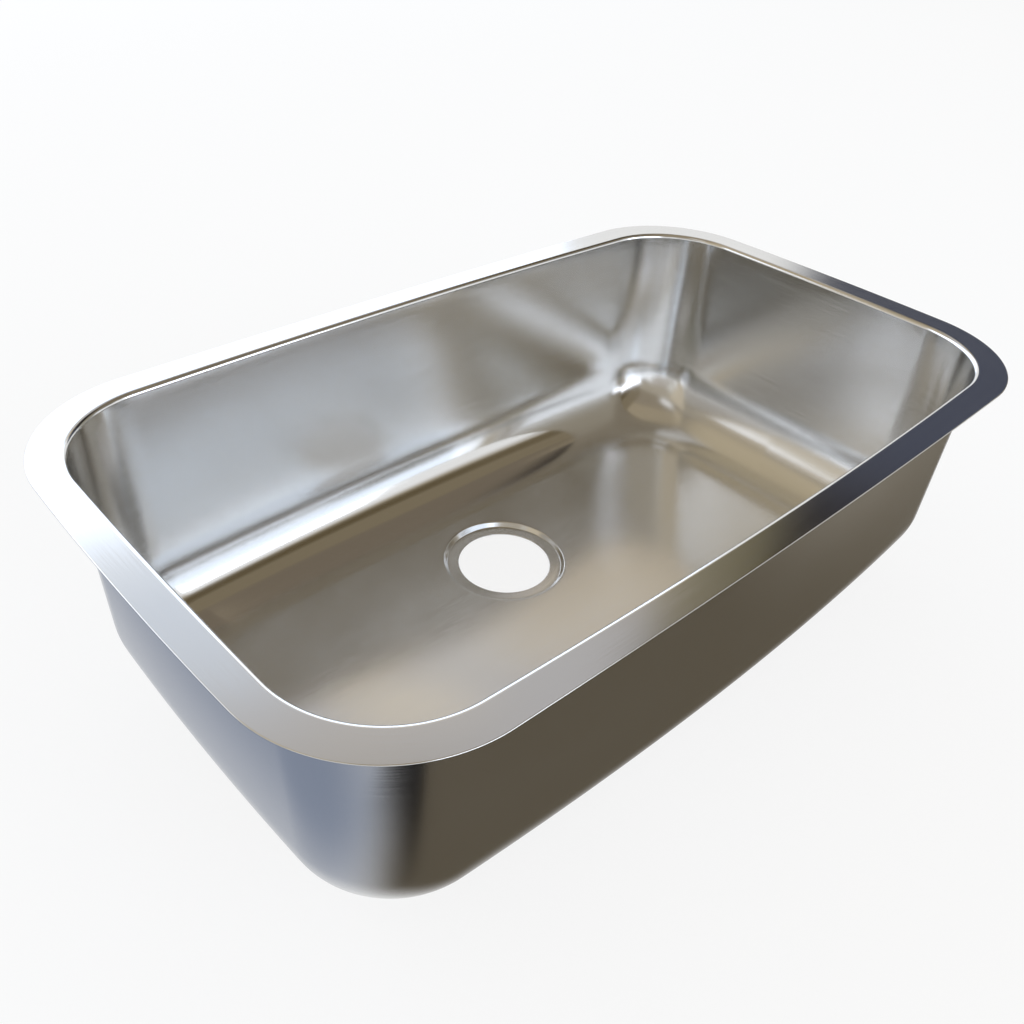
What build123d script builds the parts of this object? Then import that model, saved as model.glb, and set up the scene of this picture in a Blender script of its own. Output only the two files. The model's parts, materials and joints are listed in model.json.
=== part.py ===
"""Undermount kitchen sink, one deep-drawn stainless bowl, with bonded sound pads.

Millimetres. +X runs along the length, +Y goes to the back wall, +Z is up.
The origin is the middle of the footprint, at the level of the lowest face,
which is the underside of the drain seat.
"""
from build123d import *

import math
import os

# ---- sheet and rim -----------------------------------------------------
sheet = 1.2                      # 18 gauge stainless sheet
overall_length = 762.0           # 30 in, over the flange, at mid width
overall_width = 455.0            # over the flange, at mid length
flange_end = 26.0                # flange edge to wall face, middle of an end
flange_side = 24.0               # flange edge to wall face, middle of a side
flange_corner = 106.0            # plan radius of the flange corners
flange_bow_long = 6.6            # how far a long edge bulges at mid length
flange_bow_short = 8.3           # how far a short edge bulges at mid width
roll_radius = 4.0                # visible radius, flange into wall

# ---- bowl, inside faces ------------------------------------------------
opening_corner = 83.5            # plan radius of the wall corners at the rim
opening_bow_long = 10.0          # how far a long wall bulges at mid length
opening_bow_short = 4.2          # how far a short wall bulges at mid width
bowl_depth = 219.0               # flange top to the lowest part of the floor
wall_draft = 4.5                 # inward run of every wall from rim to floor
floor_fillet = 66.0              # inside radius, wall into floor

# ---- floor and drain ---------------------------------------------------
floor_fall = 2.0                 # level border of the floor to its lowest part
fall_margin = 3.5                # level strip between floor fillet and the fall
recess_gap = 5.0                 # level strip's edge to the recess, at the back
drain_hole = 88.9                # 3-1/2 in opening
seat_outer = 117.0               # recess diameter at floor level
seat_slope_run = 5.0             # radial run of the recess wall
seat_depth = 5.0                 # floor to seat
seat_radius_top = 2.6            # visible radius, floor into recess wall
seat_radius_bottom = 1.6         # visible radius, recess wall into seat

# ---- sound pads, bonded under the floor --------------------------------
pad_thick = 3.0
pad_corner = 12.0
pad_gap = 14.0                   # clear strip between neighbouring pads
pad_edge = 8.0                   # clear strip from pad to the floor fillet
pad_front_width = 118.0          # pad between the drain and the front wall
pad_drain_clear = 12.0           # clear ring round the recess

# ---- derived sizes -----------------------------------------------------
opening_length = overall_length - 2 * flange_end
opening_width = overall_width - 2 * flange_side
floor_half_x = opening_length / 2 - wall_draft - floor_fillet
floor_half_y = opening_width / 2 - wall_draft - floor_fillet
fall_half_x = floor_half_x - fall_margin
fall_half_y = floor_half_y - fall_margin
seat_bottom = seat_outer - 2 * seat_slope_run
drain_y = fall_half_y - recess_gap - seat_outer / 2

z_seat = sheet                                   # top of the drain seat
z_floor = z_seat + seat_depth                    # lowest part of the floor
z_level = z_floor + floor_fall                   # level border of the floor
z_rim = z_floor + bowl_depth                     # top of the flange
overlap = 0.05                                   # joined solids reach this far in
eps = 0.01
UNDER, VISIBLE = 0, 1                            # the two sides of the sheet


def bowed_outline(length, width, corner, bow_long, bow_short, z):
    """Face bounded by four shallow side arcs and four tangent corner arcs."""
    r_long = length**2 / (8 * bow_long) + bow_long / 2
    r_short = width**2 / (8 * bow_short) + bow_short / 2
    y_long = width / 2 - r_long                  # centre of the back side's arc
    x_short = length / 2 - r_short               # centre of the right side's arc
    # The centre of the back right corner lies r_long - corner from one of these
    # centres and r_short - corner from the other, so two circles cross there.
    a = r_long - corner
    b = r_short - corner
    span = math.hypot(x_short, y_long)
    along = (a**2 - b**2 + span**2) / (2 * span)
    across = math.sqrt(a**2 - along**2)
    cx = (along * x_short - across * y_long) / span
    cy = y_long - (along * y_long + across * x_short) / span
    t_short = math.degrees(math.atan2(cy, cx - x_short))
    t_long = math.degrees(math.atan2(cy - y_long, cx))
    turn = t_long - t_short
    edges = []
    for s, half_turn in ((1, 0), (-1, 180)):
        edges += [
            CenterArc((s * x_short, 0, z), r_short, half_turn - t_short, 2 * t_short),
            CenterArc((s * cx, s * cy, z), corner, half_turn + t_short, turn),
            CenterArc((0, s * y_long, z), r_long, half_turn + t_long, 180 - 2 * t_long),
            CenterArc((-s * cx, s * cy, z), corner, half_turn + 180 - t_long, turn),
        ]
    return make_face(edges)


def floor_dip(grow):
    """Shallow oval fall of the floor, a thin slice off the outside of a huge ring.

    The ring's two radii set how far the fall reaches along and across the sink.
    """
    r_along = fall_half_x**2 / (2 * floor_fall)
    r_across = fall_half_y**2 / (2 * floor_fall)
    ring = Rot(90, 0, 0) * Torus(r_along - r_across, r_across + grow)
    slab = Box(
        opening_length, opening_width, 2 * floor_fall + overlap,
        align=(Align.CENTER, Align.CENTER, Align.MAX),
    )
    return Pos(0, 0, z_floor + r_along) * ring & Pos(0, 0, z_level - grow + overlap) * slab


def tub(grow):
    """Solid inside of the bowl, grown by `grow`, with its foot rounded into the floor."""
    rim = bowed_outline(
        opening_length + 2 * grow, opening_width + 2 * grow,
        opening_corner + grow, opening_bow_long, opening_bow_short, z_rim,
    )
    wall_height = z_rim - z_level
    draft = math.degrees(math.atan2(wall_draft, wall_height))
    walls = extrude(rim, -wall_height - grow, taper=draft)
    foot = walls.faces().sort_by(Axis.Z)[0].outer_wire().edges()
    return fillet(foot, floor_fillet + grow) + floor_dip(grow)


def recess(grow, z_base):
    """Drain recess as a cone frustum, `grow` wider than the visible one."""
    r_low = seat_bottom / 2 + grow
    r_top = r_low + 2 * seat_slope_run
    body = Cone(r_low, r_top, 2 * seat_depth, align=(Align.CENTER, Align.CENTER, Align.MIN))
    return Pos(0, drain_y, z_base) * body


def recess_bend(shape, side, upper):
    """Upper or lower border of the recess wall, on one side of the sheet."""
    cones = shape.faces().filter_by(GeomType.CONE)
    walls = cones.filter_by(lambda face: face.center().Z < z_level)
    wall = walls.sort_by(lambda face: face.bounding_box().min.Z)[side]
    middle = wall.bounding_box().center().Z
    rings = wall.edges().filter_by(GeomType.LINE, reverse=True)
    return rings.filter_by(lambda edge: (edge.center().Z > middle) == upper)


def slope_grow():
    """Growth that makes the recess wall one sheet thick, measured square to it."""
    slope = math.atan2(seat_depth, seat_slope_run)
    return sheet / math.sin(slope) - sheet / math.tan(slope)


def rim_edge(shape, z):
    """Inner border of the flange face that lies at height z."""
    for face in shape.faces().filter_by(GeomType.PLANE):
        box = face.bounding_box()
        level = abs(box.min.Z - z) < eps and abs(box.max.Z - z) < eps
        if level and face.inner_wires():
            return face.inner_wires()[0].edges()
    raise ValueError("no flange face at this height")


def outside_solid():
    """Everything under the outer skin of the bowl, without the flange."""
    return tub(sheet) + recess(slope_grow(), 0)


def make_bowl():
    """Flange, walls, floor and drain seat pressed from one sheet."""
    z_under = z_rim - sheet
    flange_face = bowed_outline(
        overall_length, overall_width, flange_corner,
        flange_bow_long, flange_bow_short, z_under,
    )
    inside = tub(0) + recess(0, z_seat)
    hole = Pos(0, drain_y, 0) * Cylinder(drain_hole / 2, 4 * z_floor)
    body = extrude(flange_face, sheet) + outside_solid() - inside - hole

    body = fillet(rim_edge(body, z_rim), roll_radius)
    body = fillet(rim_edge(body, z_under), roll_radius - sheet)

    bends = [
        (VISIBLE, True, seat_radius_top),
        (UNDER, True, seat_radius_top - sheet),
        (VISIBLE, False, seat_radius_bottom),
        (UNDER, False, seat_radius_bottom + sheet),
    ]
    for side, upper, radius in bends:
        body = fillet(recess_bend(body, side, upper), radius)
    return body


def make_pads():
    """Rubber sheets cut to lie on the dipped underside of the floor."""
    skin = outside_solid()
    layer = Pos(0, 0, -pad_thick) * skin - skin
    half_x = floor_half_x - pad_edge
    half_y = floor_half_y - pad_edge
    side_x = max(pad_front_width / 2 + pad_gap, seat_outer / 2 + pad_drain_clear)
    side_size = (half_x - side_x, 2 * half_y)
    side_mid = (half_x + side_x) / 2
    front_top = drain_y - seat_outer / 2 - pad_drain_clear
    front_size = (pad_front_width, front_top + half_y)
    front_mid = (front_top - half_y) / 2
    layout = {
        "pad_left": (-side_mid, 0, side_size),
        "pad_right": (side_mid, 0, side_size),
        "pad_front": (0, front_mid, front_size),
    }
    pads = {}
    for name, (x, y, size) in layout.items():
        cutter = extrude(RectangleRounded(*size, pad_corner), bowl_depth)
        pads[name] = Pos(x, y, -bowl_depth / 2) * cutter & layer
    return pads


parts = {"bowl": make_bowl()}
parts.update(make_pads())

os.makedirs("parts", exist_ok=True)
for name, shape in parts.items():
    export_step(shape, f"parts/{name}.step")
for name, shape in parts.items():
    box = shape.bounding_box()
    low = [round(v, 2) for v in box.min]
    high = [round(v, 2) for v in box.max]
    print(name, low, high, round(shape.volume), len(shape.solids()), shape.is_valid)
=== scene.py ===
"""Undermount kitchen sink: the pressed bowl, its sound pads, the studio and the camera.

Metres. +X runs along the length, +Y goes to the back wall and +Z is up. The
underside of the drain seat is at z = 0, just above the paper it stands on.
"""

import json
import math

import bmesh
import bpy
import numpy as np
from mathutils import Matrix, Vector


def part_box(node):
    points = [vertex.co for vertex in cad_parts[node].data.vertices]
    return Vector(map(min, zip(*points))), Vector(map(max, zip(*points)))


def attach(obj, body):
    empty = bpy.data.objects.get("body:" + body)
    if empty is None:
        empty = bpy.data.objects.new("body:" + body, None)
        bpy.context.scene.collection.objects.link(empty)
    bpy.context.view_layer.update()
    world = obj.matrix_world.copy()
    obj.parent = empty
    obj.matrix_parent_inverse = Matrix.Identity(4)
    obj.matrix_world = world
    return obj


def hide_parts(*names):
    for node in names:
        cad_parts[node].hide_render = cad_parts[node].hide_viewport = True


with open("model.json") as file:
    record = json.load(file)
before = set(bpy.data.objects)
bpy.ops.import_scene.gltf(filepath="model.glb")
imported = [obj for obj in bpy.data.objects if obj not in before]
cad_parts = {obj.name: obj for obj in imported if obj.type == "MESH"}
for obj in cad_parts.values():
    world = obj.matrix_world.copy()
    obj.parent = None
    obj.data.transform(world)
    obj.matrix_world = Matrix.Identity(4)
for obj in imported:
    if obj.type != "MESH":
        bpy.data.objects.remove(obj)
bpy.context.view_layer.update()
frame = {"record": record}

MM = 0.001

# ---- the bowl, from the frame -------------------------------------------
BOWL_LOW, BOWL_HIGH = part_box("bowl")
MOUNTS = {mount["name"]: mount for mount in frame["record"]["mounts"]}
DRAIN_Y = MOUNTS["drain"]["pos_m"][1]
DRAIN_RADIUS = MOUNTS["drain"]["dims"]["r_mm"] * MM
RIM_Z = BOWL_HIGH.z
BOWL_LENGTH = BOWL_HIGH.x - BOWL_LOW.x
BOWL_WIDTH = BOWL_HIGH.y - BOWL_LOW.y

# ---- sheet and rim ------------------------------------------------------
SHEET = 1.2 * MM                 # 18 gauge
EDGE_ROUND = 0.35 * MM           # deburred edges of the sheet
FLANGE_END = 26 * MM             # flange edge to wall face at the ends
FLANGE_SIDE = 24 * MM            # flange edge to wall face at the sides
FLANGE_CORNER = 106 * MM         # plan radius
FLANGE_BOWS = (6.6 * MM, 8.3 * MM)       # bulge of the long and the short edges
ROLL = 4 * MM                    # visible radius, flange into wall

# ---- walls and floor, inside faces --------------------------------------
OPENING_CORNER = 83.5 * MM
OPENING_BOWS = (10 * MM, 4.2 * MM)
BASE_LENGTH = 698.4 * MM         # the walls carried down to floor level
BASE_WIDTH = 406.4 * MM
BASE_CORNER = 77 * MM
BASE_BOWS = (18 * MM, 8 * MM)
FLOOR_FILLET = 66 * MM
FOOT_CORNER = 44 * MM            # plan radius where the fillet meets the floor
FLOOR_FALL = 6.0 * MM            # edge of the floor to the drain
FALL_FRONT = 199 * MM            # how far the fall reaches from the drain
FALL_BACK = 133 * MM
FALL_SIDE = 285 * MM

# ---- drain recess -------------------------------------------------------
SEAT_OUTER = 58.5 * MM           # radius at floor level
SEAT_INNER = 55.5 * MM           # radius at the seat
SEAT_DEPTH = 3 * MM
SEAT_BENDS = (1.6 * MM, 1.2 * MM)        # floor into slope, slope into seat
SEAT_RUNS = (3 * MM, 4 * MM)     # straight runs outside and inside the two bends

# ---- sound pads ---------------------------------------------------------
PAD_THICK = 3 * MM
PAD_CORNER = 12 * MM
PAD_BOW = 0.01 * MM              # straight to the eye; an outline needs some bow
PAD_EDGE = 0.8 * MM              # how far the cut edge is rounded
PAD_GLUE = 0.05 * MM             # between the steel and the rubber
PAD_WELD = 0.005 * MM            # points nearer than this are merged
PAD_RINGS, PAD_EDGE_STEPS = 14, 9

SEAT_Z = SHEET
FLOOR_Z = SEAT_Z + SEAT_DEPTH + FLOOR_FALL       # edge of the floor

# ---- steps of the bowl's grid, fine enough for smooth reflections --------
END_STEPS, CORNER_STEPS, SIDE_STEPS = 22, 50, 40         # a quarter of the way round
# rows of the flange's flat, as shares of its width from the edge
FLANGE_SHARES = (0, 0.012, 0.03, 0.1, 0.3, 0.5, 0.7, 0.88, 0.95, 0.98)
ROLL_ROW = len(FLANGE_SHARES)    # first row of the roll
ROLL_STEPS, WALL_STEPS, FILLET_STEPS, FLOOR_STEPS, BEND_STEPS = 9, 14, 28, 22, 7

# ---- finishes -----------------------------------------------------------
USUAL_NOISE = (0.3, 0.7)         # most of a noise's values lie between these
STEEL_WHITE = "#DEDEDD"
GRAIN_WIDTH = 0.9 * MM           # real scratches are under 0.1 mm, too fine to show
GRAIN_LENGTH = 70 * MM
GRAIN_HEIGHT = 0.1 * MM
STROKE_ROUGHNESS = (0.17, 0.24)  # from the finest stroke to the coarsest
BELT_PATCH = 90 * MM             # how far the belt's pressure stays the same
PATCH_ROUGHNESS = (0.93, 1.07)   # times the stroke's, from light to hard pressure
BUFFED_ROUGHNESS = 0.4           # times the stroke's, where the wheel has done all it can
FLAT_BUFFING = 0.4               # of the flange and the floor, where the cove has 1
RUBBER_BLACK = "#242426"
RUBBER_GRAIN = 1.1 * MM          # pimples left by the calender rolls
RUBBER_HEIGHT = 0.15 * MM
RUBBER_ROUGHNESS = (0.68, 0.85)
CHALK_GREY = "#48484A"
CHALK_PATCH = 28 * MM            # release chalk that was not wiped off
CHALK_NOISE = (0.45, 0.75)       # bare rubber below the first, most chalk above the second
CHALK_MOST = 0.5                 # share of its grey where there is most


# ---- surfaces -----------------------------------------------------------
def outline(length, width, corner, bow_long, bow_short):
    """Points and outward normals round a rounded oblong with bowed sides.

    Each quarter is three tangent arcs: half of the end, the corner and half of
    the side. Sizes may be columns, which gives one outline for each row.
    """
    r_long = length**2 / (8 * bow_long) + bow_long / 2
    r_short = width**2 / (8 * bow_short) + bow_short / 2
    y_long = width / 2 - r_long
    x_short = length / 2 - r_short
    a = r_long - corner
    b = r_short - corner
    span = np.hypot(x_short, y_long)
    along = (a**2 - b**2 + span**2) / (2 * span)
    across = np.sqrt(a**2 - along**2)
    cx = (along * x_short - across * y_long) / span
    cy = y_long - (along * y_long + across * x_short) / span
    t_short = np.arctan2(cy, cx - x_short)
    t_long = np.arctan2(cy - y_long, cx)
    turns = (
        (x_short, 0.0, r_short, 0.0, t_short, END_STEPS),
        (cx, cy, corner, t_short, t_long, CORNER_STEPS),
        (0.0, y_long, r_long, t_long, np.pi / 2, SIDE_STEPS),
    )
    points, normals = [], []
    for x, y, radius, start, stop, steps in turns:
        angle = start + (stop - start) * np.arange(steps) / steps
        normal = np.stack((np.cos(angle), np.sin(angle)), -1)
        centre = np.stack(np.broadcast_arrays(x, y, angle)[:2], -1)
        points.append(centre + np.asarray(radius)[..., None] * normal)
        normals.append(normal)
    quarter = np.concatenate(points, -2)
    facing = np.concatenate(normals, -2)
    one_point = quarter[..., :1, :].shape
    side_middle = np.stack(np.broadcast_arrays(0.0, width / 2), -1)
    quarter = np.concatenate((quarter, np.broadcast_to(side_middle, one_point)), -2)
    facing = np.concatenate((facing, np.broadcast_to((0.0, 1.0), one_point)), -2)
    return four_quarters(quarter), four_quarters(facing)


def four_quarters(quarter):
    """A quarter, from the end's middle to the side's middle, mirrored all round."""
    back = quarter[..., ::-1, :]
    turns = (quarter * (1, 1), back * (-1, 1), quarter * (-1, -1), back * (1, -1))
    return np.concatenate([turn[..., :-1, :] for turn in turns], -2)


def rounded_profile(points, radii, steps):
    """An open line of straight runs whose inner corners are arcs of these radii."""
    points = np.asarray(points, float)
    line = [points[:1]]
    for before, corner, after, radius in zip(points, points[1:], points[2:], radii):
        to_before = (before - corner) / np.linalg.norm(before - corner)
        to_after = (after - corner) / np.linalg.norm(after - corner)
        half = math.acos(np.clip(to_before @ to_after, -1, 1)) / 2
        middle = (to_before + to_after) / np.linalg.norm(to_before + to_after)
        centre = corner + middle * radius / math.sin(half)
        first = corner + to_before * radius / math.tan(half) - centre
        turn = (math.pi - 2 * half) * np.sign(np.cross(-to_before, to_after))
        angle = turn * np.linspace(0, 1, steps)[:, None]
        sideways = np.array((-first[1], first[0]))
        line.append(centre + first * np.cos(angle) + sideways * np.sin(angle))
    return np.concatenate(line + [points[-1:]])


def floor_fall(x, y):
    """Height of the floor against its edge: a smooth hollow centred on the drain.

    The fall times the square of one minus the squared distance from the drain,
    which is measured in shares of how far the hollow reaches on that side.
    """
    reach_y = np.where(y > DRAIN_Y, FALL_BACK, FALL_FRONT)
    distance = (x / FALL_SIDE) ** 2 + ((y - DRAIN_Y) / reach_y) ** 2
    return -FLOOR_FALL * np.clip(1 - distance, 0, 1) ** 2


def wall_sizes(depth):
    """Sizes of the wall's outline, from the rim's at depth 0 to the base's at 1."""
    rim = (
        BOWL_LENGTH - 2 * FLANGE_END, BOWL_WIDTH - 2 * FLANGE_SIDE,
        OPENING_CORNER, *OPENING_BOWS,
    )
    base = (BASE_LENGTH, BASE_WIDTH, BASE_CORNER, *BASE_BOWS)
    return [top + (low - top) * depth for top, low in zip(rim, base)]


def sagitta(chord, radius):
    """Rise of an arc of this radius over a chord."""
    return radius - math.sqrt(radius**2 - chord**2 / 4)


def foot_sizes():
    """Sizes of the line where fillet meets floor: the base's, set in by the fillet."""
    length = BASE_LENGTH - 2 * FLOOR_FILLET
    width = BASE_WIDTH - 2 * FLOOR_FILLET
    bows = [
        sagitta(run, chord**2 / (8 * bow) + bow / 2 - FLOOR_FILLET)
        for run, chord, bow in zip((length, width), (BASE_LENGTH, BASE_WIDTH), BASE_BOWS)
    ]
    return length, width, FOOT_CORNER, *bows


def visible_skin():
    """Inside of the bowl and top of the flange, as rows from the rim to the drain.

    Flange and roll: the outlines carried along a flat and a quarter circle.
    Wall and floor fillet: the outline at each height, drawn in towards the
    fillet's foot by the versine of its turn.
    Floor: straight runs from the foot towards the drain, lowered by the fall.
    Recess: a profile turned about the drain, its top following the floor.
    With the rows comes how far each one counts as floor, from 0 to 1.
    """
    outer, facing = outline(BOWL_LENGTH, BOWL_WIDTH, FLANGE_CORNER, *FLANGE_BOWS)
    opening, square = outline(*wall_sizes(0.0))
    rows = []

    edge = outer - facing * EDGE_ROUND
    roll_start = opening + square * ROLL
    share = np.array(FLANGE_SHARES)[:, None, None]
    flat = edge + (roll_start - edge) * share
    rows.append(np.concatenate((flat, np.full(flat.shape[:2] + (1,), RIM_Z)), -1))

    angle = np.linspace(0, math.pi / 2, ROLL_STEPS)[:, None, None]
    bend = opening + square * ROLL * (1 - np.sin(angle))
    height = RIM_Z - ROLL * (1 - np.cos(angle)) + 0 * bend[..., :1]
    rows.append(np.concatenate((bend, height), -1))

    foot = FLOOR_Z + FLOOR_FILLET
    down = np.linspace(0, 1, WALL_STEPS)[1:-1]
    turn = np.linspace(0, math.pi / 2, FILLET_STEPS)
    wall_top = RIM_Z - ROLL
    wall_level = wall_top + (foot - wall_top) * down
    level = np.concatenate((wall_level, foot - FLOOR_FILLET * np.sin(turn)))
    inset = np.concatenate((0 * down, 1 - np.cos(turn)))
    depth = ((wall_top - level) / (wall_top - FLOOR_Z))[:, None]
    towards_foot = outline(*foot_sizes())[0] - outline(*wall_sizes(1.0))[0]
    wall = outline(*wall_sizes(depth))[0] + towards_foot * inset[:, None, None]
    drop = inset[:, None] ** 2 * floor_fall(wall[..., 0], wall[..., 1])
    rows.append(np.concatenate((wall, (level[:, None] + drop)[..., None]), -1))

    slope = np.array((
        (SEAT_OUTER + SEAT_RUNS[0], SEAT_DEPTH), (SEAT_OUTER, SEAT_DEPTH),
        (SEAT_INNER, 0), (SEAT_INNER - SEAT_RUNS[1], 0),
    ))
    seat = ((DRAIN_RADIUS + 2 * EDGE_ROUND, 0), (DRAIN_RADIUS + EDGE_ROUND, 0))
    line = np.concatenate((rounded_profile(slope, SEAT_BENDS, BEND_STEPS), seat))
    radius, lift = line[:, 0], line[:, 1] / SEAT_DEPTH

    drain = np.array((0, DRAIN_Y))
    end = wall[-1]
    bearing = end - drain
    bearing = bearing / np.linalg.norm(bearing, axis=-1, keepdims=True)
    ring = drain + bearing * radius[0]
    share = (1 - np.cos(np.linspace(0, math.pi, FLOOR_STEPS)))[1:-1, None, None] / 2
    plan = end + (ring - end) * share
    height = FLOOR_Z + floor_fall(plan[..., 0], plan[..., 1])
    rows.append(np.concatenate((plan, height[..., None]), -1))

    floor_rows = len(plan) + len(radius)
    plan = drain + bearing * radius[:, None, None]
    top = FLOOR_Z + floor_fall(plan[..., 0], plan[..., 1])
    height = SEAT_Z + (top - SEAT_Z) * lift[:, None]
    rows.append(np.concatenate((plan, height[..., None]), -1))
    grid = np.concatenate(rows)
    on_floor = np.ones(len(grid))
    on_floor[:-floor_rows] = 0
    on_floor[-floor_rows - FILLET_STEPS:-floor_rows] = ease(turn / (math.pi / 2))
    return grid, on_floor


def ease(share):
    """Smooth step from 0 to 1: three squares less two cubes."""
    return share * share * (3 - 2 * share)


def grid_normals(grid):
    """Normals of a grid that is closed along its rows, by crossing its two steps."""
    around = np.roll(grid, -1, 1) - np.roll(grid, 1, 1)
    along = np.gradient(grid, axis=0)
    normal = np.cross(around, along)
    return normal / np.linalg.norm(normal, axis=-1, keepdims=True)


def closed_sheet(skin, inner_end, outer_end):
    """Rows of a sheet all round: its skin, an end, its other side and an end."""
    under = skin - grid_normals(skin) * SHEET
    return np.concatenate((skin, inner_end, under[::-1], outer_end))


def closed_runs(points):
    """Distance travelled along a closed line of points, back to the first one."""
    steps = np.linalg.norm(np.roll(points, -1, 0) - points, axis=-1)
    return np.concatenate(((0.0,), np.cumsum(steps)))


def mesh_piece(name, vertices, faces):
    """A smooth-shaded mesh object at the origin."""
    mesh = bpy.data.meshes.new(name)
    mesh.from_pydata(vertices, [], faces)
    mesh.shade_smooth()
    mesh.update()
    piece = bpy.data.objects.new(name, mesh)
    bpy.context.scene.collection.objects.link(piece)
    return piece


def ring_faces(rows, columns):
    """Quads of a grid whose rows and columns both close on themselves."""
    cell = np.arange(rows * columns).reshape(rows, columns)
    right = np.roll(cell, -1, 1)
    below = np.roll(cell, -1, 0)
    return np.stack((cell, below, np.roll(below, -1, 1), right), -1).reshape(-1, 4)


def lay_grain(piece, grid, floor_share):
    """Gives the bowl its brushing: a UV map in metres and three attributes.

    The belt runs round the walls and the flange, and along X on the floor, so
    the direction across the grain turns from down the wall to along Y.
    U is the run round the bowl and V the run down the section.
    The wheel's buffing is full in the cove of the long sides, where it falls off
    as the fourth power of how far the wall turns away from them.
    """
    rows, columns = grid.shape[:2]
    u = closed_runs(grid[ROLL_ROW])
    v = closed_runs(grid[:, 0])
    row, column = np.divmod(np.arange(rows * columns), columns)
    # each face's corners in the order of ring_faces: itself, below, below right, right
    corner_rows = row[:, None] + (0, 1, 1, 0)
    corner_columns = column[:, None] + (0, 0, 1, 1)
    runs = np.stack((u[corner_columns], v[corner_rows]), -1)
    piece.data.uv_layers.new(name="section").data.foreach_set("uv", runs.ravel())

    down = np.roll(grid, -1, 0) - np.roll(grid, 1, 0)
    down /= np.linalg.norm(down, axis=-1, keepdims=True)
    share = floor_share[:, None, None]
    across = down * (1 - share) + np.sign(down[..., 1:2]) * (0, 1, 0) * share
    attributes = piece.data.attributes
    grain = attributes.new("across_grain", "FLOAT_VECTOR", "POINT")
    grain.data.foreach_set("vector", across.ravel())
    facing = outline(BOWL_LENGTH, BOWL_WIDTH, FLANGE_CORNER, *FLANGE_BOWS)[1]
    in_cove = 4 * floor_share * (1 - floor_share)
    buffed = in_cove[:, None] * facing[:, 1] ** 4 + FLAT_BUFFING * floor_share[:, None] ** 4
    buffed[:ROLL_ROW + ROLL_STEPS] = FLAT_BUFFING
    spread = floor_share[:, None] + 0 * buffed
    for name, value in (("floor_share", spread), ("buffed", buffed)):
        attributes.new(name, "FLOAT", "POINT").data.foreach_set("value", value.ravel())


def make_bowl():
    """The whole pressed sheet as one closed surface, with its grain on the mesh."""
    skin, floor_share = visible_skin()
    up = np.array((0, 0, 1))
    towards_drain = (0, DRAIN_Y, SEAT_Z) - skin[-1]
    inward = towards_drain / np.linalg.norm(towards_drain, axis=-1, keepdims=True)
    edge = skin[-1] + inward * EDGE_ROUND
    hole = np.stack((edge - up * EDGE_ROUND, edge - up * (SHEET - EDGE_ROUND)))
    normal = outline(BOWL_LENGTH, BOWL_WIDTH, FLANGE_CORNER, *FLANGE_BOWS)[1]
    outward = np.concatenate((normal, 0 * normal[..., :1]), -1)
    edge = skin[0] + outward * EDGE_ROUND
    rim = np.stack((edge - up * (SHEET - EDGE_ROUND), edge - up * EDGE_ROUND))
    grid = closed_sheet(skin, hole, rim)
    floor_share = np.concatenate((floor_share, (1, 1), floor_share[::-1], (0, 0)))
    piece = mesh_piece("pressed_bowl", grid.reshape(-1, 3), ring_faces(*grid.shape[:2]))
    lay_grain(piece, grid, floor_share)
    return piece


def make_pad(name):
    """A rubber sheet laid against the underside of the floor.

    The pad's rounded oblong is drawn in towards its middle to make rings, over
    the top, round the cut edge and back under. Each ring follows the floor.
    """
    low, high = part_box(name)
    middle = np.array((low.x + high.x, low.y + high.y)) / 2
    line, normal = outline(high.x - low.x, high.y - low.y, PAD_CORNER, PAD_BOW, PAD_BOW)
    share = np.linspace(0, 1, PAD_RINGS)[:, None, None]
    face = (line - normal * PAD_EDGE) * share
    angle = np.linspace(0, math.pi, PAD_EDGE_STEPS)[1:-1, None, None]
    side = line - normal * PAD_EDGE * (1 - np.sin(angle))
    plan = np.concatenate((face, side, face[::-1])) + middle
    rise = np.cos(angle[..., 0]) * np.ones(len(line)) / 2
    flat = np.ones(face.shape[:2]) / 2
    rise = np.concatenate((flat, rise, -flat))
    top = FLOOR_Z + floor_fall(plan[..., 0], plan[..., 1]) - SHEET - PAD_GLUE
    height = top + (rise - 0.5) * PAD_THICK
    grid = np.concatenate((plan, height[..., None]), -1)
    faces = ring_faces(*grid.shape[:2])[:-grid.shape[1]]
    piece = mesh_piece(name + "_rubber", grid.reshape(-1, 3), faces)
    shape = bmesh.new()
    shape.from_mesh(piece.data)
    bmesh.ops.remove_doubles(shape, verts=shape.verts, dist=PAD_WELD)
    shape.to_mesh(piece.data)
    shape.free()
    return piece


def node(tree, kind, links=None, **settings):
    """Adds a node; settings set its options, or its sockets where they name one."""
    made = tree.nodes.new(kind)
    for name, value in settings.items():
        if hasattr(made, name):
            setattr(made, name, value)
        else:
            made.inputs[name.replace("_", " ")].default_value = value
    for socket, source in (links or {}).items():
        tree.links.new(source, made.inputs[socket])
    return made


def linear(code):
    """Linear colour of an sRGB hex code such as "#C4C5C6"."""
    srgb = np.array([int(code[i:i + 2], 16) for i in (1, 3, 5)]) / 255
    value = np.where(srgb <= 0.04045, srgb / 12.92, ((srgb + 0.055) / 1.055) ** 2.4)
    return (*value.tolist(), 1.0)


def new_material(name):
    """A material without nodes, and its node tree."""
    material = bpy.data.materials.new(name)
    material.use_nodes = True
    material.node_tree.nodes.clear()
    return material, material.node_tree


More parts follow.
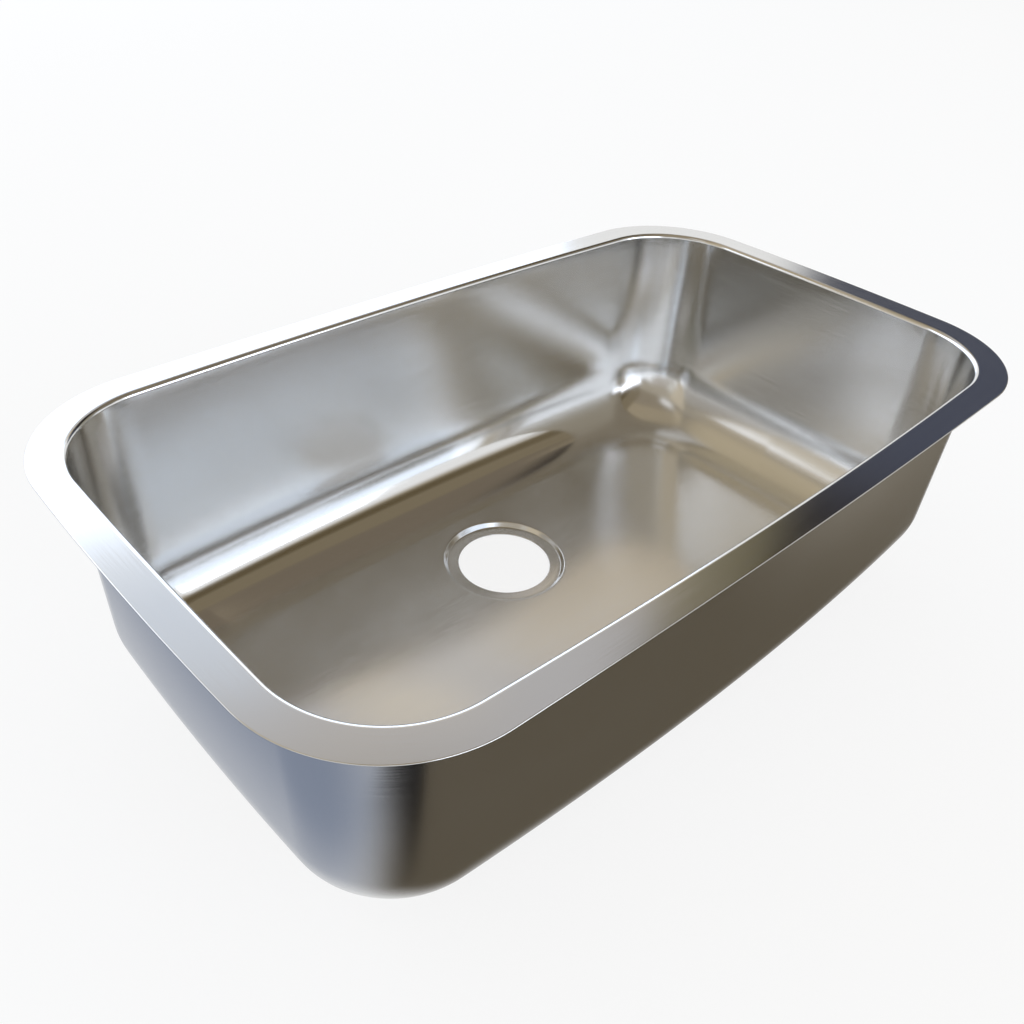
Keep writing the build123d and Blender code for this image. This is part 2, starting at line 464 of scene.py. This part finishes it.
def satin_stainless():
    """Type 304 stainless, belt brushed to a satin finish.

    The belt leaves fine straight scratches, so a highlight is drawn out across
    them, and the sheen differs a little from stroke to stroke and from patch to
    patch. A wheel has buffed the cove of the long sides well, and the flange and
    the floor a little.
    """
    material, tree = new_material("satin_stainless")
    runs = node(tree, "ShaderNodeUVMap", uv_map="section")
    place = node(tree, "ShaderNodeTexCoord")
    fine = (1 / GRAIN_LENGTH, 1 / GRAIN_WIDTH, 1 / GRAIN_WIDTH)
    wall_run = node(tree, "ShaderNodeMapping", {"Vector": runs.outputs["UV"]}, Scale=fine)
    floor_run = node(tree, "ShaderNodeMapping", {"Vector": place.outputs["Object"]}, Scale=fine)
    wall = node(
        tree, "ShaderNodeTexNoise", {"Vector": wall_run.outputs["Vector"]},
        Scale=1.0, Detail=4.0,
    )
    floor = node(
        tree, "ShaderNodeTexNoise", {"Vector": floor_run.outputs["Vector"]},
        Scale=1.0, Detail=4.0,
    )
    share = node(tree, "ShaderNodeAttribute", attribute_name="floor_share")
    strokes = node(
        tree, "ShaderNodeMix",
        {"Factor": share.outputs["Fac"], "A": wall.outputs["Fac"], "B": floor.outputs["Fac"]},
    )
    sheen = node(
        tree, "ShaderNodeMapRange", {"Value": strokes.outputs["Result"]},
        From_Min=USUAL_NOISE[0], From_Max=USUAL_NOISE[1],
        To_Min=STROKE_ROUGHNESS[0], To_Max=STROKE_ROUGHNESS[1],
    )
    patches = node(
        tree, "ShaderNodeTexNoise", {"Vector": place.outputs["Object"]},
        Scale=1 / BELT_PATCH, Detail=2.0,
    )
    pressure = node(
        tree, "ShaderNodeMapRange", {"Value": patches.outputs["Fac"]},
        From_Min=USUAL_NOISE[0], From_Max=USUAL_NOISE[1],
        To_Min=PATCH_ROUGHNESS[0], To_Max=PATCH_ROUGHNESS[1],
    )
    pressed = node(
        tree, "ShaderNodeMath",
        {0: sheen.outputs["Result"], 1: pressure.outputs["Result"]}, operation="MULTIPLY",
    )
    buffed = node(tree, "ShaderNodeAttribute", attribute_name="buffed")
    polish = node(
        tree, "ShaderNodeMapRange", {"Value": buffed.outputs["Fac"]},
        To_Min=1.0, To_Max=BUFFED_ROUGHNESS,
    )
    rough = node(
        tree, "ShaderNodeMath",
        {0: pressed.outputs["Value"], 1: polish.outputs["Result"]}, operation="MULTIPLY",
    )
    across = node(tree, "ShaderNodeAttribute", attribute_name="across_grain")
    relief = node(
        tree, "ShaderNodeBump", {"Height": strokes.outputs["Result"]},
        Strength=0.03, Distance=GRAIN_HEIGHT,
    )
    shader = node(
        tree, "ShaderNodeBsdfPrincipled",
        {
            "Roughness": rough.outputs["Value"], "Tangent": across.outputs["Vector"],
            "Normal": relief.outputs["Normal"],
        },
        Base_Color=linear(STEEL_WHITE), Metallic=1.0, Anisotropic=0.5,
    )
    node(tree, "ShaderNodeOutputMaterial", {"Surface": shader.outputs["BSDF"]})
    return material


def pad_rubber():
    """Butyl rubber sheet from calender rolls, matt black, with traces of chalk."""
    material, tree = new_material("pad_rubber")
    place = node(tree, "ShaderNodeTexCoord")
    pimples = node(
        tree, "ShaderNodeTexNoise", {"Vector": place.outputs["Object"]},
        Scale=1 / RUBBER_GRAIN, Detail=2.0,
    )
    patches = node(
        tree, "ShaderNodeTexNoise", {"Vector": place.outputs["Object"]},
        Scale=1 / CHALK_PATCH, Detail=5.0, Roughness=0.6,
    )
    chalk = node(
        tree, "ShaderNodeMapRange", {"Value": patches.outputs["Fac"]},
        From_Min=CHALK_NOISE[0], From_Max=CHALK_NOISE[1], To_Min=0.0, To_Max=CHALK_MOST,
    )
    tone = node(
        tree, "ShaderNodeMixRGB", {"Fac": chalk.outputs["Result"]},
        Color1=linear(RUBBER_BLACK), Color2=linear(CHALK_GREY),
    )
    dull = node(
        tree, "ShaderNodeMapRange", {"Value": pimples.outputs["Fac"]},
        From_Min=USUAL_NOISE[0], From_Max=USUAL_NOISE[1],
        To_Min=RUBBER_ROUGHNESS[0], To_Max=RUBBER_ROUGHNESS[1],
    )
    relief = node(
        tree, "ShaderNodeBump", {"Height": pimples.outputs["Fac"]},
        Strength=0.4, Distance=RUBBER_HEIGHT,
    )
    shader = node(
        tree, "ShaderNodeBsdfPrincipled",
        {
            "Base Color": tone.outputs["Color"], "Roughness": dull.outputs["Result"],
            "Normal": relief.outputs["Normal"],
        },
    )
    node(tree, "ShaderNodeOutputMaterial", {"Surface": shader.outputs["BSDF"]})
    return material


bowl = make_bowl()
bowl.data.materials.append(satin_stainless())
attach(bowl, "root")
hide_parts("bowl")

rubber = pad_rubber()
for name in ("pad_left", "pad_right", "pad_front"):
    pad = make_pad(name)
    pad.data.materials.append(rubber)
    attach(pad, "root")
    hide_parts(name)

# ---- studio -------------------------------------------------------------
FLOOR_DROP = 1 * MM              # paper floor, below the drain seat
PAPER_WHITE = "#F4F4F4"
PAPER_REACH = 8                  # from the middle of the paper to its edges
PAPER_GLOW = 0.8                 # share of the paper that is plain white to the eye
FILL_WHITE = "#F3F1EC"           # the surround, where it lights matt things
FILL_STRENGTH = 0.8
LAMP_DISTANCE = 5                # nearer than every standing painted reflection

# name, azimuth, elevation, width and height in degrees, radiance, colour
SOFTBOXES = (
    ("window_back", 14, 17, 62, 39, 1.2, "#C6DEFF"),
    ("window_left", -32, 20, 44, 44, 1.25, "#E4EEFF"),
    ("window_front", 174, 20, 50, 27, 2.7, "#E2EAFA"),
)

# Painted reflections: glowing sheets, no lamps, that only the steel sees, standing for the room
# round it. Later ones stand nearer, in front of earlier ones.
# name, azimuth, elevation, width and height in degrees, colour, fade, distance
STANDING_REFLECTIONS = (
    ("ceiling", 11, 89, 110, 100, "#A89B83", 0.3, 8.6),
    ("dim_ceiling", 85, 62, 60, 24, "#7B7061", 0.4, 8.4),
    ("warm_ceiling", 342, 61, 46, 26, "#C3B599", 0.5, 8.3),
    ("front_ceiling", 240, 62, 90, 48, "#968B79", 0.5, 8.2),
    # painted highlight: a white glowing sheet, not a lamp, that brightens the back-right corner
    # and its cove in the steel
    ("painted_corner_highlight", 266, 63, 24, 14, "#FFFFFF", 0.6, 8.1),
    ("room_wall", 246, 45, 96, 30, "#B3AA99", 0.5, 8.05),
    ("brown_board", 150, 50, 116, 29, "#867A64", 0.3, 8.0),
    ("beam", 150, 43, 60, 12, "#64573F", 0.8, 7.95),
    ("cool_board", 18, 43, 18, 14, "#E4ECF9", 0.6, 7.85),
    ("soft_board", 43, 48, 42, 19, "#C5C3C4", 0.3, 7.8),
    ("amber_board", 36, 45.5, 13, 10, "#E8DDCB", 0.7, 7.75),
    ("warm_board", 52, 37, 18, 11, "#D1C4AF", 0.5, 7.7),
    ("sand_board", 284, 32, 34, 52, "#D2C6B0", 0.3, 7.6),
    ("front_board", 243, 26, 42, 22, "#C4BEB6", 0.4, 7.5),
    ("door_board", 260, 31, 14, 24, "#E0DED8", 0.6, 7.45),
    ("dark_board", 77, 33.5, 29, 44, "#211C1D", 0.24, 7.4),
    ("olive_board", 62.5, 38, 8, 22, "#7D755C", 0.5, 7.35),
    ("navy_board", 72, 25, 22, 18, "#505463", 0.5, 7.3),
    ("grey_board", 101, 14, 26, 34, "#9A9688", 0.35, 7.2),
    ("corner_board", 119, 29, 29, 13, "#7C7B7A", 0.3, 7.1),
)

# Painted reflections of the ground round the sink, lying on the paper and seen only in the steel.
# name, x, y, level in millimetres, length, width, colour, fade
LYING_REFLECTIONS = (
    ("brown_ground", 0.44, -0.92, -0.5, 1.72, 1.56, "#61594B", 0.1),
    ("pale_ground", 0.75, -0.92, -0.3, 1.3, 1.56, "#BDB6AA", 0.6),
    # painted shadow: the sink's shade on the floor at its left front, as the steel reflects it
    ("painted_shadow_strip", -0.38, -0.5, -0.4, 0.13, 0.64, "#0E0D0F", 0.4),
    ("blue_ground", -0.6, 0.4, -0.6, 0.6, 1.9, "#8C96AA", 0.45),
    ("grey_ground", -2.1, 0.5, -0.7, 2.8, 3.8, "#8F9196", 0.1),
    ("back_ground", 0.9, 1.5, -0.8, 4.0, 2.4, "#8F8B85", 0.2),
    ("end_ground", 1.9, 0.1, -0.9, 2.8, 2.8, "#8A8B90", 0.2),
    ("drain_ground", 0, DRAIN_Y, -0.6, 0.16, 0.16, "#C4C4C4", 0.2),
)


def from_middle(azimuth, elevation, distance):
    """A point seen from the bowl's middle: azimuth from +Y towards +X, in degrees."""
    turn, lift = math.radians(azimuth), math.radians(elevation)
    level = math.cos(lift) * distance
    rise = math.sin(lift) * distance
    return Vector((math.sin(turn) * level, math.cos(turn) * level, RIM_Z + rise))


def seen_rays(tree):
    """One for camera, glossy and transmission rays, which see the white paper."""
    path = node(tree, "ShaderNodeLightPath")
    glossy = node(
        tree, "ShaderNodeMath",
        {0: path.outputs["Is Camera Ray"], 1: path.outputs["Is Glossy Ray"]}, operation="MAXIMUM",
    )
    return node(
        tree, "ShaderNodeMath",
        {0: glossy.outputs["Value"], 1: path.outputs["Is Transmission Ray"]}, operation="MAXIMUM",
    ).outputs["Value"]


def paper_floor():
    """Pale paper under the sink. From below it is clear, which shows the pads."""
    sides = ((-1, -1), (1, -1), (1, 1), (-1, 1))
    corners = [(x * PAPER_REACH, y * PAPER_REACH, -FLOOR_DROP) for x, y in sides]
    paper = mesh_piece("paper_floor", corners, [(0, 1, 2, 3)])
    material, tree = new_material("white_paper")
    matt = node(tree, "ShaderNodeBsdfDiffuse", Color=linear(PAPER_WHITE))
    glow = node(tree, "ShaderNodeEmission", Color=(1, 1, 1, 1), Strength=1.0)
    share = node(tree, "ShaderNodeMath", {0: seen_rays(tree)}, operation="MULTIPLY")
    share.inputs[1].default_value = PAPER_GLOW
    face = node(
        tree, "ShaderNodeMixShader",
        {0: share.outputs["Value"], 1: matt.outputs["BSDF"], 2: glow.outputs["Emission"]},
    )
    side = node(tree, "ShaderNodeNewGeometry")
    clear = node(tree, "ShaderNodeBsdfTransparent")
    both = node(
        tree, "ShaderNodeMixShader",
        {0: side.outputs["Backfacing"], 1: face.outputs["Shader"], 2: clear.outputs["BSDF"]},
    )
    node(tree, "ShaderNodeOutputMaterial", {"Surface": both.outputs["Shader"]})
    paper.data.materials.append(material)


def painted_reflection(name, middle, facing, size, colour, fade):
    """A glowing sheet out of the picture, seen only in the steel: a painted reflection, no lamp.

    It covers its size each way about the middle, square to where it faces, and
    fades out towards its edges over a share of its half size.
    """
    turn = (Vector(facing) - Vector(middle)).to_track_quat("Z", "Y").to_matrix()
    half_x, half_y = size[0] / 2, size[1] / 2
    corners = [(-half_x, -half_y), (half_x, -half_y), (half_x, half_y), (-half_x, half_y)]
    places = [Vector(middle) + turn @ Vector((*corner, 0)) for corner in corners]
    board = mesh_piece(name, places, [(0, 1, 2, 3)])
    runs = board.data.uv_layers.new(name="board")
    runs.data.foreach_set("uv", (-1, -1, 1, -1, 1, 1, -1, 1))
    material, tree = new_material(name)
    across = node(tree, "ShaderNodeUVMap", uv_map="board")
    split = node(tree, "ShaderNodeSeparateXYZ", {"Vector": across.outputs["UV"]})
    fades = []
    for axis in ("X", "Y"):
        side = node(tree, "ShaderNodeMath", {0: split.outputs[axis]}, operation="ABSOLUTE")
        fades.append(node(
            tree, "ShaderNodeMapRange", {"Value": side.outputs["Value"]},
            interpolation_type="SMOOTHSTEP",
            From_Min=1.0, From_Max=1 - fade, To_Min=0.0, To_Max=1.0,
        ))
    cover = node(
        tree, "ShaderNodeMath",
        {0: fades[0].outputs["Result"], 1: fades[1].outputs["Result"]}, operation="MULTIPLY",
    )
    clear = node(tree, "ShaderNodeBsdfTransparent")
    face = node(tree, "ShaderNodeEmission", Color=linear(colour), Strength=1.0)
    mixed = node(
        tree, "ShaderNodeMixShader",
        {0: cover.outputs["Value"], 1: clear.outputs["BSDF"], 2: face.outputs["Emission"]},
    )
    node(tree, "ShaderNodeOutputMaterial", {"Surface": mixed.outputs["Shader"]})
    material.cycles.emission_sampling = "NONE"
    board.data.materials.append(material)
    for kind in ("camera", "diffuse", "transmission", "volume_scatter", "shadow"):
        setattr(board, "visible_" + kind, False)


def span(angle, distance):
    """Length that fills this angle, in degrees, at this distance."""
    return 2 * distance * math.tan(math.radians(angle / 2))


def standing_reflection(name, azimuth, elevation, width, height, colour, fade, distance):
    """A painted reflection some way off that faces the sink, its size in degrees from there."""
    size = (span(width, distance), span(height, distance))
    middle = from_middle(azimuth, elevation, distance)
    painted_reflection(name, middle, from_middle(0, 0, 0), size, colour, fade)


def lying_reflection(name, x, y, level, length, width, colour, fade):
    """A painted reflection on the paper, facing up; its level is in millimetres."""
    painted_reflection(name, (x, y, level * MM), (x, y, 1), (length, width), colour, fade)


def softbox(name, azimuth, elevation, width, height, radiance, colour):
    """An area lamp that faces the sink; radiance 1 looks white in a mirror."""
    lamp = bpy.data.lights.new(name, "AREA")
    lamp.shape = "RECTANGLE"
    lamp.size = span(width, LAMP_DISTANCE)
    lamp.size_y = span(height, LAMP_DISTANCE)
    lamp.energy = radiance * math.pi * lamp.size * lamp.size_y
    lamp.color = linear(colour)[:3]
    box = bpy.data.objects.new(name, lamp)
    bpy.context.scene.collection.objects.link(box)
    box.location = from_middle(azimuth, elevation, LAMP_DISTANCE)
    aim = from_middle(0, 0, 0) - box.location
    box.rotation_mode = "QUATERNION"
    box.rotation_quaternion = aim.to_track_quat("-Z", "Y")
    box.visible_camera = False


def white_surround():
    """White to the eye and in the steel, and a little lower as light on matt things."""
    world = bpy.data.worlds.new("studio")
    bpy.context.scene.world = world
    world.use_nodes = True
    tree = world.node_tree
    tree.nodes.clear()
    fill = node(tree, "ShaderNodeBackground", Color=linear(FILL_WHITE), Strength=FILL_STRENGTH)
    white = node(tree, "ShaderNodeBackground", Color=(1, 1, 1, 1), Strength=1.0)
    mixed = node(
        tree, "ShaderNodeMixShader",
        {0: seen_rays(tree), 1: fill.outputs["Background"], 2: white.outputs["Background"]},
    )
    node(tree, "ShaderNodeOutputWorld", {"Surface": mixed.outputs["Shader"]})


paper_floor()
white_surround()
for row in SOFTBOXES:
    softbox(*row)
for row in STANDING_REFLECTIONS:
    standing_reflection(*row)
for row in LYING_REFLECTIONS:
    lying_reflection(*row)

# ---- camera -------------------------------------------------------------
CAMERA_PLACE = (-513.1 * MM, -444.4 * MM, 602.9 * MM)
CAMERA_AZIMUTH = 45.46           # degrees from +Y towards +X
CAMERA_DOWN = 36.74              # degrees below the horizon
CAMERA_ROLL = 4.30               # degrees
CAMERA_LENS = 33.81              # mm
CAMERA_SENSOR = 36               # mm


def make_camera():
    """The photograph's viewpoint, worked out from the outlines of rim and drain."""
    data = bpy.data.cameras.new("camera")
    data.lens = CAMERA_LENS
    data.sensor_width = CAMERA_SENSOR
    camera = bpy.data.objects.new("camera", data)
    bpy.context.scene.collection.objects.link(camera)
    turn = Matrix.Rotation(-math.radians(CAMERA_AZIMUTH), 4, "Z")
    tilt = Matrix.Rotation(math.radians(90 - CAMERA_DOWN), 4, "X")
    roll = Matrix.Rotation(math.radians(CAMERA_ROLL), 4, "Z")
    camera.matrix_world = Matrix.Translation(CAMERA_PLACE) @ turn @ tilt @ roll
    bpy.context.scene.camera = camera


make_camera()
bpy.context.scene.view_settings.view_transform = "Standard"
